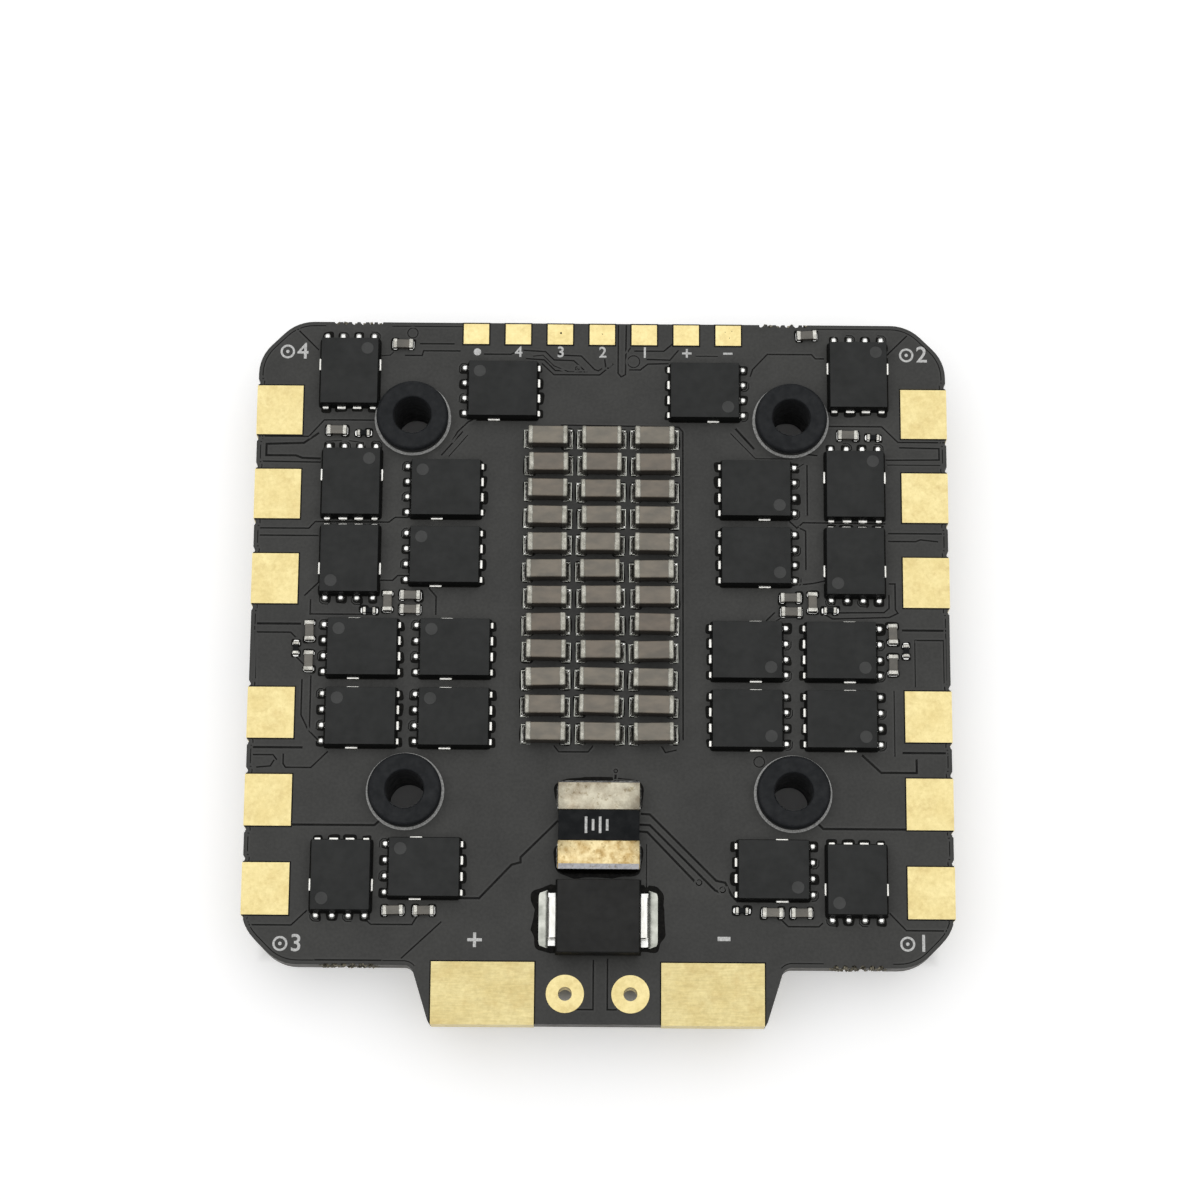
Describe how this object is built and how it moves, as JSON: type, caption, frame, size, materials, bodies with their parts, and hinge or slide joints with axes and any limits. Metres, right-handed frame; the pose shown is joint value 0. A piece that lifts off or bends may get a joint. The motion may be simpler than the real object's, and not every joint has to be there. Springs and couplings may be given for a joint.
{
  "type": "electronic speed controller",
  "caption": "Square power board with rows of power transistors, a bank of input capacitors, gold solder pads along its sides, a battery tab and rubber mounting grommets.",
  "frame": {"origin": "centre of the mounting pattern, on the plane that the grommets' feet stand on", "axes": "+Z out of the power side, +Y towards the signal edge, battery tab towards -Y"},
  "size_m": [0.0558, 0.0569, 0.0083],
  "materials": {
    "solder_mask": "matte black-grey mask over glass laminate",
    "transistor_mould": "fine matte moulding compound",
    "tinned_leads": "bright tin and solder",
    "gold_plating": "pale immersion gold, faintly smudged",
    "capacitor_ceramic": "fired brown-grey ceramic",
    "capacitor_ends": "dull tin",
    "resistor_coat": "black glaze",
    "shunt_metal": "tinned copper, smudged",
    "shunt_coat": "matte black coat",
    "diode_mould": "matte moulding compound",
    "grommet_rubber": "soft matte rubber",
    "chip_mould": "fine matte moulding compound",
    "ferrite": "sintered grey ferrite",
    "socket_plastic": "natural ivory plastic",
    "contact_metal": "plated spring metal"
  },
  "bodies": {
    "root": {"circuit_board": "solder_mask", "motor_1_grommet": "grommet_rubber", "motor_1_transistor_1": "transistor_mould", "motor_1_transistor_2": "transistor_mould", "motor_1_transistor_3": "transistor_mould", "motor_1_transistor_4": "transistor_mould", "motor_1_transistor_5": "transistor_mould", "motor_1_transistor_6": "transistor_mould", "motor_1_transistor_leads": "tinned_leads", "motor_1_pads": "gold_plating", "motor_2_grommet": "grommet_rubber", "motor_2_transistor_1": "transistor_mould", "motor_2_transistor_2": "transistor_mould", "motor_2_transistor_3": "transistor_mould", "motor_2_transistor_4": "transistor_mould", "motor_2_transistor_5": "transistor_mould", "motor_2_transistor_6": "transistor_mould", "motor_2_transistor_leads": "tinned_leads", "motor_2_pads": "gold_plating", "motor_3_grommet": "grommet_rubber", "motor_3_transistor_1": "transistor_mould", "motor_3_transistor_2": "transistor_mould", "motor_3_transistor_3": "transistor_mould", "motor_3_transistor_4": "transistor_mould", "motor_3_transistor_5": "transistor_mould", "motor_3_transistor_6": "transistor_mould", "motor_3_transistor_leads": "tinned_leads", "motor_3_pads": "gold_plating", "motor_4_grommet": "grommet_rubber", "motor_4_transistor_1": "transistor_mould", "motor_4_transistor_2": "transistor_mould", "motor_4_transistor_3": "transistor_mould", "motor_4_transistor_4": "transistor_mould", "motor_4_transistor_5": "transistor_mould", "motor_4_transistor_6": "transistor_mould", "motor_4_transistor_leads": "tinned_leads", "motor_4_pads": "gold_plating", "left_column_capacitors": "capacitor_ceramic", "middle_column_capacitors": "capacitor_ceramic", "right_column_capacitors": "capacitor_ceramic", "column_capacitor_ends": "capacitor_ends", "chip_capacitors": "capacitor_ceramic", "chip_resistors": "resistor_coat", "chip_ends": "capacitor_ends", "battery_positive_pad": "gold_plating", "battery_negative_pad": "gold_plating", "signal_pads": "gold_plating", "capacitor_lead_rings": "gold_plating", "shunt_terminals": "shunt_metal", "shunt_strip": "shunt_coat", "surge_diode": "diode_mould", "surge_diode_leads": "tinned_leads", "motor_controllers": "chip_mould", "gate_drivers": "chip_mould", "current_amplifier": "chip_mould", "voltage_regulator": "chip_mould", "regulator_coil": "ferrite", "signal_socket_housing": "socket_plastic", "signal_socket_contacts": "contact_metal"}
  },
  "joints": []
}
